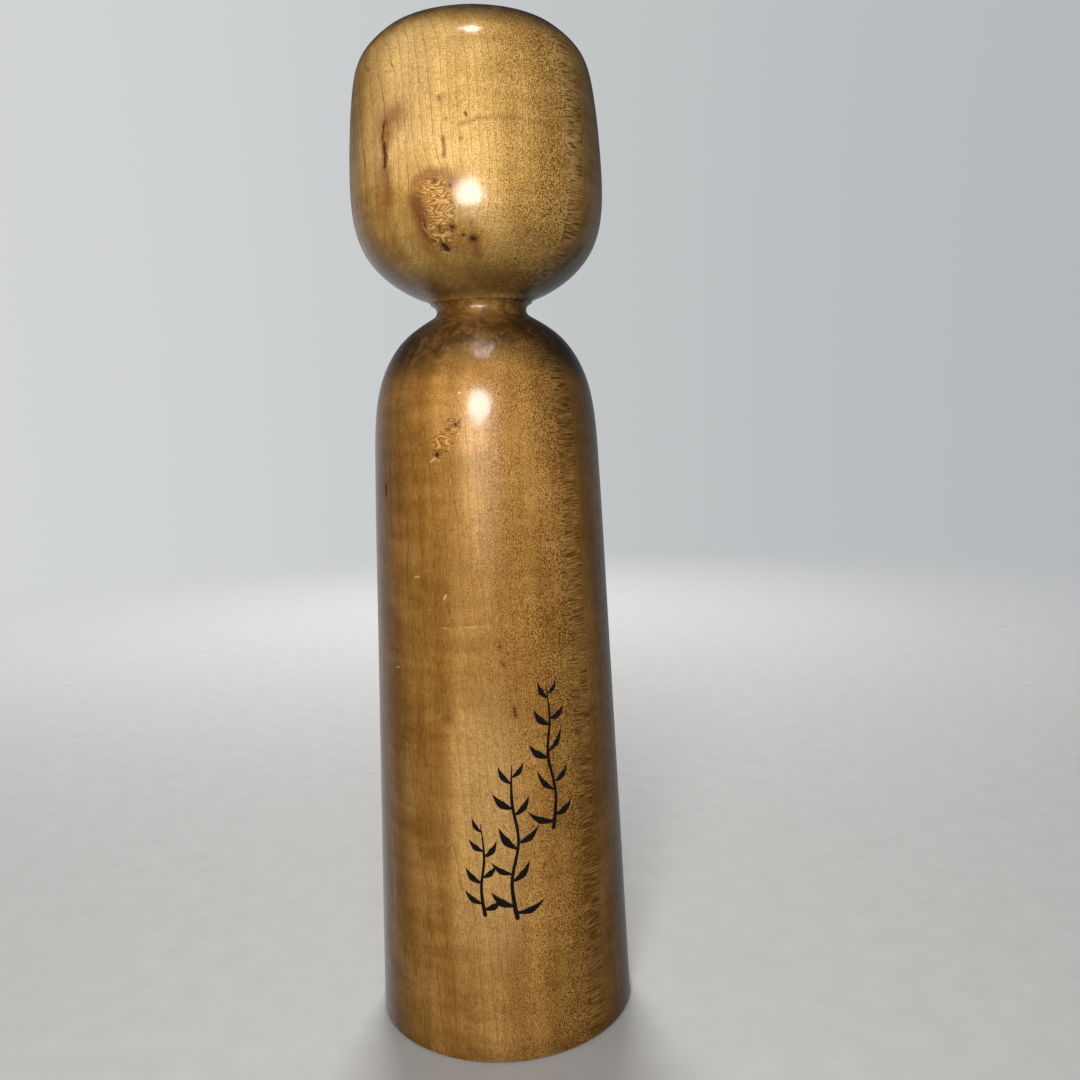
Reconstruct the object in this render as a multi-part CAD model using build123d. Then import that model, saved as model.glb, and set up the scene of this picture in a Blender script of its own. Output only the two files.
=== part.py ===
from build123d import *
import math
import os

# A large kokeshi doll, turned in two pieces: a body with a flat foot and a narrow neck, and a head
# whose tenon turns in the body's socket. Millimetres, +Z up. The origin is the centre of the foot,
# on the surface that the doll stands on, and the doll looks towards -Y.
# Both pieces are round about Z, so a point of an outline is (radius, height).

# Overall
HEIGHT = 450.0

# Body, from the foot up
FOOT_RADIUS = 59.5
FOOT_BEVEL = 1.0
FLANK_MIDDLE = (55.6, 125.0)
FLANK_TOP = (51.4, 254.0)
FLANK_TOP_LEAN = (-0.036, 1.0)
SHOULDER = [(50.3, 274.5), (45.6, 297.0), (34.9, 313.4)]

# Neck: a small round hollow, with the slopes of the shoulder below it and of the collar above it
NECK_RADIUS = 20.3
NECK_HEIGHT = 325.2
NECK_HOLLOW = 3.2
SHOULDER_SLOPE = 31.0
COLLAR_SLOPE = 25.0

# Seam between collar and head: a fine V groove round the outside
SEAM_RADIUS = 23.0
SEAM_HEIGHT = 328.8
SEAM_GROOVE = 0.3

# Head, from the seam up to the crown
CHIN_SLOPE = 26.0
HEAD = [
    (34.4, 334.8), (42.6, 340.6), (51.7, 352.3), (55.7, 368.0), (55.9, 386.0),
    (54.8, 404.0), (52.9, 420.0), (48.8, 432.6), (41.6, 440.3),
]
CROWN_EDGE = (34.0, 444.4)

# Tenon on the head and its socket in the body
TENON_RADIUS = 11.0
TENON_LENGTH = 46.0
TENON_CHAMFER = 1.5
RUNNING_GAP = 0.06
SOCKET_AIR = 3.0
BEAD_DROP = 34.0
BEAD_HALF_WIDTH = 3.0
BEAD_PROUD = 0.8
BEAD_GAP = 0.15


def slope(degrees):
    """Direction that rises at this angle while the radius grows."""
    return (math.cos(math.radians(degrees)), math.sin(math.radians(degrees)))


def hollow_point(degrees, side):
    """Point of the neck's hollow where its outline rises at this angle: side is -1 below, 1 above."""
    run, rise = slope(degrees)
    return (
        NECK_RADIUS + NECK_HOLLOW * (1 - rise),
        NECK_HEIGHT + side * NECK_HOLLOW * run,
    )


def crown_lean():
    """Direction, inwards and up, in which the crown's arc starts from its edge."""
    radius, height = CROWN_EDGE
    rise = HEIGHT - height
    arc_radius = (radius**2 + rise**2) / (2 * rise)
    return (-(arc_radius - rise) / arc_radius, radius / arc_radius)


def turn(outline):
    """Solid of revolution of a closed outline."""
    return revolve(Plane.XZ * make_face(outline), axis=Axis.Z)


def shaft_outline(radius, proud, half_width):
    """Side of the tenon or socket round its bead or groove: the points below, at and above it."""
    height = SEAM_HEIGHT - BEAD_DROP
    return [
        (radius, height - half_width),
        (radius + proud, height),
        (radius, height + half_width),
    ]


def make_body():
    """Foot, flank, shoulder, neck and collar, with the socket bored down from the collar."""
    socket_radius = TENON_RADIUS + RUNNING_GAP
    socket_floor = SEAM_HEIGHT - TENON_LENGTH - SOCKET_AIR
    groove = shaft_outline(socket_radius, BEAD_PROUD + BEAD_GAP, BEAD_HALF_WIDTH + BEAD_GAP)
    hollow_start = hollow_point(SHOULDER_SLOPE, -1)
    hollow_end = hollow_point(COLLAR_SLOPE, 1)
    inward_run, inward_rise = slope(SHOULDER_SLOPE)
    flank_foot = (FOOT_RADIUS, FOOT_BEVEL)
    collar_edge = (SEAM_RADIUS, SEAM_HEIGHT - SEAM_GROOVE)
    collar_rim = (SEAM_RADIUS - SEAM_GROOVE, SEAM_HEIGHT)

    outline = Curve() + [
        Polyline((0, socket_floor), (0, 0), (FOOT_RADIUS - FOOT_BEVEL, 0), flank_foot),
        ThreePointArc(flank_foot, FLANK_MIDDLE, FLANK_TOP),
        Spline(
            FLANK_TOP, *SHOULDER, hollow_start,
            tangents=(FLANK_TOP_LEAN, (-inward_run, inward_rise)),
        ),
        ThreePointArc(hollow_start, (NECK_RADIUS, NECK_HEIGHT), hollow_end),
        Polyline(hollow_end, collar_edge, collar_rim, (socket_radius, SEAM_HEIGHT), groove[2]),
        ThreePointArc(groove[2], groove[1], groove[0]),
        Polyline(groove[0], (socket_radius, socket_floor), (0, socket_floor)),
    ]
    return turn(outline)


def make_head():
    """Head from the seam to the crown, with the tenon below it."""
    tenon_end = SEAM_HEIGHT - TENON_LENGTH
    bead = shaft_outline(TENON_RADIUS, BEAD_PROUD, BEAD_HALF_WIDTH)
    chin = (SEAM_RADIUS, SEAM_HEIGHT + SEAM_GROOVE)
    rim = (SEAM_RADIUS - SEAM_GROOVE, SEAM_HEIGHT)

    outline = Curve() + [
        Polyline(
            (0, HEIGHT), (0, tenon_end), (TENON_RADIUS - TENON_CHAMFER, tenon_end),
            (TENON_RADIUS, tenon_end + TENON_CHAMFER), bead[0],
        ),
        ThreePointArc(bead[0], bead[1], bead[2]),
        Polyline(bead[2], (TENON_RADIUS, SEAM_HEIGHT), rim, chin),
        Spline(chin, *HEAD, CROWN_EDGE, tangents=(slope(CHIN_SLOPE), crown_lean())),
        TangentArc(CROWN_EDGE, (0, HEIGHT), tangent=crown_lean()),
    ]
    return turn(outline)


os.makedirs("parts", exist_ok=True)
export_step(make_body(), "parts/body.step")
export_step(make_head(), "parts/head.step")
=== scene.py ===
import math
from dataclasses import dataclass

import bpy
import numpy as np
from mathutils import Matrix, Vector


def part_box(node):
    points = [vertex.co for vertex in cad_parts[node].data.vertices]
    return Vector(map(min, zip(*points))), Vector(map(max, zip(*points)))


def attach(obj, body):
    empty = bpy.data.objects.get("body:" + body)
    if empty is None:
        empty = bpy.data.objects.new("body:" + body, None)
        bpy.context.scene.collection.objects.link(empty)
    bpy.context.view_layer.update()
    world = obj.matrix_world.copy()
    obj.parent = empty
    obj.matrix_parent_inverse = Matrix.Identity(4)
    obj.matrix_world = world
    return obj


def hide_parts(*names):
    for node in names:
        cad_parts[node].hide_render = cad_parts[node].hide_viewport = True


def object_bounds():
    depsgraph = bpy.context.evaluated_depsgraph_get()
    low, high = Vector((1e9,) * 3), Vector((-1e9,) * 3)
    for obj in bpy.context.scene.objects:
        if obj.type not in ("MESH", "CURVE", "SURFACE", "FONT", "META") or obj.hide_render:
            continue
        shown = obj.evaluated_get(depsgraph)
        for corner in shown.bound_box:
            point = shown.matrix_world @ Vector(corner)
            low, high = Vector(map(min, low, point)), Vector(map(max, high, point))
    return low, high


# A turned wooden kokeshi doll: two lacquered pieces of figured wood, with brushed decoration on them.
#
# Places on the doll are (turn, height). The turn is in degrees round the doll from the middle of its
# back, towards -X, so its face is at 180. Heights and sizes are in doll millimetres: UNIT is one of
# them in metres, and the doll is DOLL_HEIGHT of them tall.

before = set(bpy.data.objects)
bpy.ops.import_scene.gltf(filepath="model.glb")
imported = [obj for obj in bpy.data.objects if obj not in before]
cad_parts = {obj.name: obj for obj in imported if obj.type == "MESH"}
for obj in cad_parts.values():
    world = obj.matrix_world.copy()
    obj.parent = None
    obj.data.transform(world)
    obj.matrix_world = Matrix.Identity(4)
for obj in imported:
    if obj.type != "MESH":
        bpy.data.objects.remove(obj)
CAD_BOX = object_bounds()

DOLL_HEIGHT = 450.0
TALL = CAD_BOX[1].z - CAD_BOX[0].z
UNIT = TALL / DOLL_HEIGHT
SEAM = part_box("body")[1].z / UNIT
BACK = 0.0
FACE = 180.0


def into_scene(name, data):
    """A new object in the scene."""
    thing = bpy.data.objects.new(name, data)
    bpy.context.scene.collection.objects.link(thing)
    return thing


# -------- outlines of the turned pieces

# The socket and the tenon lie below the seam, inside this radius, and the skin lies outside it.
SHAFT_LIMIT = 15.0
SEAM_SLACK = 0.01

# An outline has a corner where it bends by more than this many degrees.
CORNER = 20.0

# Distance between the points of the smoothed outline
SKIN_STEP = 0.2


def outline_points(node):
    """Outline (radius, height) of a turned piece: the CAD mesh's points at the turn that has most."""
    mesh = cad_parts[node].data
    places = np.zeros(len(mesh.vertices) * 3, np.float32)
    mesh.vertices.foreach_get("co", places)
    x, y, z = places.reshape(-1, 3).astype(float).T / UNIT
    turns = np.round(np.degrees(np.arctan2(y, x)), 1)
    off_axis = np.hypot(x, y) > 1
    values, counts = np.unique(turns[off_axis], return_counts=True)
    line = off_axis & (turns == values[counts.argmax()])
    points = np.round(np.stack([np.hypot(x, y)[line], z[line]], 1), 3)
    return np.unique(points[:, ::-1], axis=0)[:, ::-1]


def smooth_line(points, steps):
    """A smooth line through points: parabolas set the slopes, and steps are distances along it."""
    points = np.asarray(points, float)
    gaps = np.hypot(*np.diff(points, axis=0).T)
    along = np.concatenate([[0], np.cumsum(gaps)])
    chords = np.diff(points, axis=0) / gaps[:, None]
    if len(points) == 2:
        slopes = np.array([chords[0], chords[0]])
    else:
        before, after = gaps[:-1, None], gaps[1:, None]
        inner = (chords[:-1] * after + chords[1:] * before) / (before + after)
        first = (3 * chords[0] - inner[0]) / 2
        last = (3 * chords[-1] - inner[-1]) / 2
        slopes = np.concatenate([[first], inner, [last]])
    steps = np.clip(steps, 0, along[-1])
    at = np.clip(np.searchsorted(along, steps, side="right") - 1, 0, len(gaps) - 1)
    gap = gaps[at][:, None]
    t = ((steps - along[at]) / gaps[at])[:, None]
    start = (2 * t**3 - 3 * t**2 + 1) * points[at] + (t**3 - 2 * t**2 + t) * gap * slopes[at]
    end = (3 * t**2 - 2 * t**3) * points[at + 1] + (t**3 - t**2) * gap * slopes[at + 1]
    return start + end


def length_of(points):
    return np.hypot(*np.diff(np.asarray(points, float), axis=0).T).sum()


def between_corners(points):
    """An outline cut into the stretches between its sharp corners."""
    lean = np.degrees(np.arctan2(*np.diff(points, axis=0).T[::-1]))
    bend = np.abs((np.diff(lean) + 180) % 360 - 180)
    cuts = [0, *(np.nonzero(bend > CORNER)[0] + 1), len(points) - 1]
    return [points[a:b + 1] for a, b in zip(cuts[:-1], cuts[1:])]


class Skin:
    """The outer surface of a turned piece, with places on it found by turn and height."""

    def __init__(self, node):
        points = outline_points(node)
        shaft = (points[:, 0] < SHAFT_LIMIT) & (points[:, 1] <= SEAM + SEAM_SLACK)
        self.shaft = points[shaft]
        self.stretches = between_corners(points[~shaft])
        fine = [smooth_line(s, np.arange(0, length_of(s), SKIN_STEP)) for s in self.stretches]
        line = np.concatenate(fine + [points[-1:]])
        keep = np.concatenate([[True], np.diff(line[:, 1]) > 1e-6])
        self.radius, self.height = line[keep].T
        step = np.gradient(line[keep], axis=0)
        step /= np.hypot(*step.T)[:, None]
        self.out, self.up = step[:, 1], -step[:, 0]

    def place(self, turn, height, proud=0.0):
        """Points in metres at turns and heights, proud of the wood by some doll millimetres."""
        turn = np.radians(turn)
        radius = np.interp(height, self.height, self.radius)
        radius = radius + proud * np.interp(height, self.height, self.out)
        level = height + proud * np.interp(height, self.height, self.up)
        return np.stack([-radius * np.sin(turn), radius * np.cos(turn), level], -1) * UNIT

    def radius_at(self, height):
        return float(np.interp(height, self.height, self.radius))


skins = {"body": Skin("body"), "head": Skin("head")}


# -------- marks in the wood

# How fast a mark's depth falls off, and how many times its reach its colour and a burl's curls go.
DENT_FALL = 1.4
MARK_SPREAD = 1.7
BURL_SPREAD = 1.4
EYE_SPREAD = 1.3

# The share that places on the far side of the doll have of a burl's size
FAR_AWAY = 9.0


class Mark:
    """Something small in the wood: a spot, or a line along its route, with its reach in millimetres.

    depth is how far it goes in, and dark and pale are how strong its colour is. halo is how far a
    reddish stain spreads round it, and tone is how strong that stain is.
    """

    def __init__(self, *route, reach, depth=0.0, dark=0.0, pale=0.0, halo=0.0, tone=0.75):
        self.route = route
        self.reach = reach
        self.depth = depth
        self.dark = dark
        self.pale = pale
        self.halo = halo
        self.tone = tone


@dataclass
class Burl:
    """A patch where the grain curls, with its centre and half sizes.

    spin is how many degrees the grain turns at its centre, spread is how much wider the grain's
    pattern gets there, and an eye is a burl whose lines run in rings.
    """

    turn: float
    height: float
    half_width: float
    half_height: float
    spin: float
    spread: float
    eye: bool = False


HEAD_BURLS = [
    Burl(-18.5, 359, 8, 13, spin=50, spread=0.2),
    Burl(-16.5, 351.5, 4, 4, spin=80, spread=0.2, eye=True),
    Burl(-40.5, 388.5, 2, 9.5, spin=25, spread=0.4),
]
HEAD_MARKS = [
    Mark((-41, 396.5), (-42, 393), (-42.5, 389.5),
         reach=0.7, depth=0.4, dark=0.7, halo=2.6, tone=0.9),
    Mark((-41.5, 388), (-41, 384), (-41.5, 379),
         reach=1.05, depth=0.6, dark=0.8, halo=2.8, tone=0.9),
    Mark((-39.5, 396), (-34.5, 398.5), reach=2.6, halo=9, tone=0.7),
    Mark((-38.5, 391), reach=2.4, halo=6, tone=0.6),
    Mark((-41, 376), (-40, 366), reach=2.0, halo=5.5, tone=0.65),
    Mark((-13, 386.5), (-12.5, 382), (-13, 379.5), reach=0.7, dark=0.5, halo=1.4, tone=0.7),
    Mark((-12, 352.5), reach=1.15, depth=0.4, dark=1, halo=3.0, tone=0.9),
    Mark((-7, 349.5), reach=0.75, depth=0.4, dark=1, halo=1.6),
    Mark((-2.5, 348), reach=1.5, depth=0.5, dark=1, halo=3.2, tone=1.0),
    Mark((-2, 346), (-0.5, 342.5), reach=1.1, dark=0.35, halo=2.6, tone=0.6),
    Mark((-17.5, 346.5), (-16, 345), reach=1.25, depth=0.45, dark=1, halo=2.4, tone=0.9),
    Mark((-18.5, 344.5), (-15.5, 343.5), reach=0.55, pale=0.7),
    Mark((-11, 368), reach=0.8, dark=0.75, halo=2.8, tone=0.85),
    Mark((-26, 370.5), (-20, 373.5), (-14, 373), (-9.5, 370), reach=1.2, halo=3.6, tone=0.65),
    Mark((-3, 354), reach=0.5, dark=0.4, halo=1.6),
    Mark((-26.5, 363.5), (-25, 358), reach=2.2, halo=5.0, tone=0.95),
    Mark((-26.5, 357), (-26, 352), (-23.5, 348.5), reach=0.7, depth=0.2, dark=0.45, halo=2.4),
    Mark((-24.5, 356.5), (-24, 353.5), reach=0.6, depth=0.25, dark=0.7, halo=1.0),
    Mark((-3.5, 395.5), (-3, 394), reach=0.5, dark=0.7, halo=1.0),
    Mark((-11.5, 393.5), reach=0.65, dark=0.75, halo=1.2),
    Mark((-14.5, 402.5), (-14, 401), reach=0.6, dark=0.5, halo=1.2),
    Mark((-26, 415), reach=0.55, dark=0.6, halo=1.0),
    Mark((-5.5, 385.5), reach=0.45, dark=0.5, halo=1.0),
    Mark((-6, 391), (2, 393), (14, 394), (32, 392.5), reach=0.5, halo=1.7, tone=0.5),
    Mark((56, 338.5), (63, 348), reach=1.0, halo=3.6, tone=0.8),
]
BODY_BURLS = [
    Burl(-16, 273.5, 3.5, 3.5, spin=90, spread=0.3),
    Burl(-21, 267, 4.5, 4.5, spin=60, spread=0.2, eye=True),
    Burl(-24.5, 261.5, 2.5, 3, spin=60, spread=0.4),
]
BODY_MARKS = [
    Mark((-14.5, 274), reach=0.9, depth=0.3, dark=0.9, halo=2.4),
    Mark((-13, 270.5), (-12, 266.5), reach=0.7, pale=0.5),
    Mark((-17.5, 272.5), reach=0.6, depth=0.3, dark=0.7, halo=1.6),
    Mark((-24, 262), reach=1.1, depth=0.35, dark=1, halo=2.4, tone=0.9),
    Mark((-25, 260.5), (-27.5, 259), reach=0.9, pale=0.62),
    Mark((-28, 259), (-33.5, 256.5), reach=0.6, pale=0.4),
    Mark((-12, 276), reach=0.5, dark=0.6, halo=1.0),
    Mark((-59.5, 244.5), (-59.5, 249.5), reach=0.6, depth=0.5, dark=1, halo=1.6),
    Mark((31.5, 298), reach=0.6, dark=0.7, halo=1.0),
    Mark((-12.5, 287), reach=0.6, depth=0.15, pale=1.1),
    Mark((-38, 210.5), (-35.5, 211), reach=0.5, depth=0.15, pale=0.9),
    Mark((-22.5, 202), (-21.5, 203.5), reach=0.5, depth=0.15, pale=1.0),
    Mark((-53, 170), (-50.5, 170.5), reach=0.5, depth=0.15, pale=0.9),
    Mark((-23.5, 189.5), (-12, 190), (-2, 190.5), reach=0.4, depth=0.06, pale=0.72),
    Mark((-7, 112), (2.5, 99.5), reach=0.5, depth=0.03, pale=0.6),
    Mark((2, 182), (2, 181), reach=0.7, dark=0.8, halo=1.4),
    Mark((2.5, 175), (4, 173.5), reach=0.6, dark=0.65, halo=1.2),
    Mark((7.5, 155.5), (8, 151.5), reach=0.75, dark=0.75, halo=1.4),
    Mark((3, 163), reach=0.4, dark=0.5, halo=0.8),
    Mark((-22.5, 151), reach=1.8, dark=0.3, halo=4.0),
    Mark((-19, 81), reach=0.5, dark=0.7, halo=1.0),
    Mark((-19, 52.5), reach=0.5, dark=0.7, halo=1.0),
    Mark((-10, 54.5), reach=0.45, dark=0.6, halo=0.8),
    # A pale patch at the lamp's reflection on the shoulder: partly a worn scuff, partly a painted
    # highlight.
    Mark((1, 303.5), reach=2.2, pale=0.45),
    Mark((68, 296.5), (50, 295.5), (31, 296), reach=0.7, dark=0.3),
]


def distance_to(route, skin, places):
    """Distance in doll millimetres from each place to a mark's route."""
    points = np.array([skin.place(turn, height) for turn, height in route]) / UNIT
    best = np.linalg.norm(places - points[0], axis=1)
    for a, b in zip(points[:-1], points[1:]):
        line = b - a
        share = np.clip((places - a) @ line / (line @ line), 0, 1)
        best = np.minimum(best, np.linalg.norm(places - a - share[:, None] * line, axis=1))
    return best


def burl_frame(burl, skin, places):
    """Offsets across and up from a burl's centre, and the share of its size that they come to."""
    centre = skin.place(burl.turn, burl.height) / UNIT
    turn = math.radians(burl.turn)
    side = np.array([-math.cos(turn), -math.sin(turn), 0])
    offset = places - centre
    across, up = offset @ side, offset[:, 2]
    share = np.hypot(across / burl.half_width, up / burl.half_height)
    facing = (places[:, :2] @ centre[:2]) > 0
    return side, across, up, np.where(facing, share, FAR_AWAY)


def fade_out(distance, end):
    """A straight fall from 1 at no distance to 0 at end."""
    return np.clip(end - distance, 0, end) / end


def mark_fields(skin, places, marks, burls):
    """Per-point fields: how far in each point goes, its marks' strengths, and the grain's shift."""
    depth = np.zeros(len(places))
    fields = {name: np.zeros(len(places)) for name in ("dark", "pale", "halo", "burl", "eye")}
    for mark in marks:
        distance = distance_to(mark.route, skin, places)
        depth += mark.depth * np.exp(-(distance / mark.reach) ** 2 * DENT_FALL)
        core = fade_out(distance / mark.reach, MARK_SPREAD)
        fields["dark"] = np.maximum(fields["dark"], mark.dark * core)
        fields["pale"] = np.maximum(fields["pale"], mark.pale * core)
        if mark.halo:
            spread = np.clip(1 - np.maximum(distance - mark.reach * 0.5, 0) / mark.halo, 0, 1)
            fields["halo"] = np.maximum(fields["halo"], mark.tone * spread)
    shift = np.zeros_like(places)
    for burl in burls:
        side, across, up, share = burl_frame(burl, skin, places)
        fade = np.exp(-share**2)
        fields["burl"] = np.maximum(fields["burl"], fade_out(share, BURL_SPREAD))
        if burl.eye:
            fields["eye"] = np.maximum(fields["eye"], fade_out(share, EYE_SPREAD))
        angle = np.radians(burl.spin) * fade
        scale = 1 - burl.spread * fade
        new_across = scale * (across * np.cos(angle) - up * np.sin(angle))
        new_up = scale * (across * np.sin(angle) + up * np.cos(angle))
        shift += (new_across - across)[:, None] * side
        shift[:, 2] += new_up - up
    return depth, fields, shift


# -------- meshes of the turned pieces

# The mesh is fine on the back, to this turn on either side of its middle, and coarse on the front.
FINE_TURNS = 64.0
FINE_STEP = 0.62
COARSE_STEP = 2.0

# Its rows are close together within ROW_REACH of a dent, which is looked for at every ROW_SCAN.
FINE_ROW = 0.62
COARSE_ROW = 1.5
ROW_REACH = 3.0
ROW_SCAN = 0.3

# Edges that bend by more than this many degrees are shaded sharp.
SHARP_EDGE = 30

# Half the width, in degrees, of the band in which the rays lie flat
BAND_HALF_TURN = 4.8


def column_turns():
    """Turns of the mesh's columns: close together on the back, where the marks are."""
    fine = np.linspace(-FINE_TURNS, FINE_TURNS, round(2 * FINE_TURNS / FINE_STEP) + 1)
    coarse_count = round((360 - 2 * FINE_TURNS) / COARSE_STEP)
    coarse = np.linspace(FINE_TURNS, 360 - FINE_TURNS, coarse_count + 1)
    return np.concatenate([fine, coarse[1:-1]])


def skin_rows(skin, marks):
    """Rows (radius, height) up the skin: close together where a mark goes into the wood."""
    deep = np.array([height for mark in marks if mark.depth for _, height in mark.route])
    rows = []
    for stretch in skin.stretches:
        total = length_of(stretch)
        fine = np.arange(0, total, ROW_SCAN)
        heights = smooth_line(stretch, fine)[:, 1]
        near = np.min(np.abs(heights[:, None] - deep), axis=1) < ROW_REACH
        density = ROW_SCAN / np.where(near, FINE_ROW, COARSE_ROW)
        count = np.concatenate([[0], np.cumsum(density)])
        whole = max(1, round(count[-1]))
        steps = np.interp(np.linspace(0, count[-1], whole + 1), count, np.append(fine, total))
        rows.append(smooth_line(stretch, steps)[:-1])
    rows.append(skin.stretches[-1][-1:])
    return np.concatenate(rows)


def lathe(name, rows, turns, shape):
    """A closed mesh turned about Z, whose rows run from the axis to the axis.

    shape takes the points and their rows, moves the points, and gives back their fields too.
    """
    ring = rows[1:-1]
    count = len(turns)
    angle = np.radians(turns)
    circle = np.stack([-np.sin(angle), np.cos(angle)], 1)
    flat = ring[:, None, :1] * circle[None]
    level = np.broadcast_to(ring[:, 1, None, None], flat.shape[:2] + (1,))
    places = np.concatenate([flat, level], 2).reshape(-1, 3)
    places, fields, shift = shape(places, np.repeat(ring, count, axis=0))
    ends = np.array([[0, 0, rows[0, 1]], [0, 0, rows[-1, 1]]])
    everything = np.concatenate([places, ends]) * UNIT

    column = np.arange(count)
    beside = (column + 1) % count
    quads = []
    for row in range(len(ring) - 1):
        a, b = row * count, (row + 1) * count
        quads.append(np.stack([a + column, a + beside, b + beside, b + column], 1))
    first, last = len(places), len(places) + 1
    top = (len(ring) - 1) * count
    fans = [(first, int(b), int(a)) for a, b in zip(column, beside)]
    fans += [(last, top + int(a), top + int(b)) for a, b in zip(column, beside)]
    mesh = bpy.data.meshes.new(name)
    mesh.from_pydata(everything.tolist(), [], np.concatenate(quads).tolist() + fans)
    for field, values in fields.items():
        attribute = mesh.attributes.new(field, "FLOAT", "POINT")
        attribute.data.foreach_set("value", np.append(values, [0, 0]).astype(np.float32))
    attribute = mesh.attributes.new("grain_shift", "FLOAT_VECTOR", "POINT")
    padded = np.concatenate([shift, np.zeros((2, 3))]).astype(np.float32)
    attribute.data.foreach_set("vector", padded.ravel())
    mesh.shade_smooth()
    mesh.set_sharp_from_angle(angle=math.radians(SHARP_EDGE))
    return into_scene(name, mesh)


def turn_of(places):
    """The turn, in degrees from -180 to 180, of each place."""
    return np.degrees(np.arctan2(-places[:, 0], places[:, 1]))


def figure_fields(places, band_turn):
    """How strongly the rays show.

    They show in a narrow band at band_turn and in one opposite, and as flecks on one side of each:
    that one-sidedness is painted sheen.
    """
    lead = (band_turn - turn_of(places)) % 180
    beside = np.minimum(lead, 180 - lead)
    return {
        "band": rise(beside, BAND_HALF_TURN * 1.6, BAND_HALF_TURN * 0.4),
        # painted sheen: flecks show strongly on one side only, as light catches them there
        "fleck_and_sheen": 0.18 + 0.82 * rise(lead, 1, 7) * rise(lead, 84, 14),
    }


def turned_piece(name, node, rows, marks, burls, stain, tone, band_turn):
    """One turned piece of the doll, with its marks cut into it, and its stains, painted light and
    painted shade as fields.
    """
    skin = skins[node]

    def shape(places, ring):
        radius, height = ring.T
        outside = (radius > SHAFT_LIMIT) | (height > SEAM + SEAM_SLACK)
        depth, fields, shift = mark_fields(skin, places, marks, burls)
        out = np.interp(height, skin.height, skin.out) * depth * outside
        up = np.interp(height, skin.height, skin.up) * depth * outside
        unit = places[:, :2] / np.maximum(radius, 1e-6)[:, None]
        places[:, :2] -= unit * out[:, None]
        places[:, 2] -= up
        # stain holds the body's stains and the head's painted shade; tone holds painted light and
        # shade
        fields["stain"], fields["tone"] = stain(places), tone(places)
        fields.update(figure_fields(places, band_turn))
        return places, fields, shift

    piece = lathe(name, rows, column_turns(), shape)
    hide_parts(node)
    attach(piece, node)
    return piece


def rise(value, low, high):
    """Smooth step from 0 at low to 1 at high."""
    share = np.clip((value - low) / (high - low), 0, 1)
    return share * share * (3 - 2 * share)


def hump(value, middle, half_width):
    """A smooth hump of height 1 round the middle."""
    return np.exp(-((value - middle) / half_width) ** 2)


def body_stain(places):
    """The shoulder is dark with age up to the neck, from a wavy edge, and the wood is a little darker
    towards the foot's bottom rim.
    """
    height = places[:, 2]
    turn = turn_of(places)
    edge = 296 + 7 * np.sin(np.radians(turn * 1.7 + 40)) * rise(np.abs(turn), 70, 25)
    shoulder = rise(height, edge - 5, edge + 14)
    patch = hump(turn, 10, 14) * hump(height, 309, 6)
    foot = 0.5 * rise(height, 14, 0)
    neck = 1 - 0.2 * rise(height, 315, 321)
    return np.clip(shoulder * neck + 0.35 * patch + foot, 0, 1.3)


def head_painted_shade(places):
    """Painted shade on the head: darker under the chin and round the edge of the crown."""
    height = places[:, 2]
    # painted shade under the chin and round the crown's edge
    chin = 0.4 * rise(height, 343, 333)
    crown = 1.1 * rise(height, 431, 446)
    return chin + crown


def body_painted_light_shade(places):
    """Painted light and shade: painted light down the middle of the back and low on it, painted shade
    at the sides, right and shoulder.
    """
    turn, height = turn_of(places), places[:, 2]
    # painted light down the middle and low on the back; painted shade at the sides, on the right and
    # on the shoulder
    pale = 0.35 * hump(turn, -6, 26)
    sides = 0.34 * hump(np.abs(turn), 66, 24)
    shoulder = 0.4 * rise(height, 288, 304) * rise(height, 324, 316)
    right = 0.35 * rise(turn, 14, 40) * rise(height, 240, 278)
    low = 0.24 * hump(turn, -4, 26) * rise(height, 175, 130) * rise(height, 30, 70)
    return 0.5 + pale + low - sides - shoulder - right


def head_painted_light_shade(places):
    """Painted light high on the left of the back, and painted shade low down, at the crown and on the
    right.
    """
    turn, height = turn_of(places), places[:, 2]
    # painted light high on the left and a little on the right; painted shade at the side, low down
    # and at the crown
    pale = 0.66 * hump(turn, -30, 36) * rise(height, 350, 388)
    pale = pale + 0.16 * hump(turn, 22, 16) * rise(height, 352, 376)
    side = 0.30 * hump(turn, 62, 20)
    low = 0.26 * rise(height, 366, 340)
    crown = 0.95 * rise(height, 428, 446)
    return 0.5 + pale - (side + low + crown)


def body_rows():
    """Rows from the middle of the foot up the skin, and down the socket to its floor."""
    skin = skins["body"]
    floor = skin.shaft[0, 1]
    return np.concatenate([[[0, 0]], skin_rows(skin, BODY_MARKS), skin.shaft[::-1], [[0, floor]]])


def head_rows():
    """Rows from the end of the tenon up it, and up the skin to the crown."""
    skin = skins["head"]
    end = skin.shaft[0, 1]
    skin_part = skin_rows(skin, HEAD_MARKS)[:-1]
    return np.concatenate([[[0, end]], skin.shaft, skin_part, [[0, DOLL_HEIGHT]]])


# -------- node trees

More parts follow.
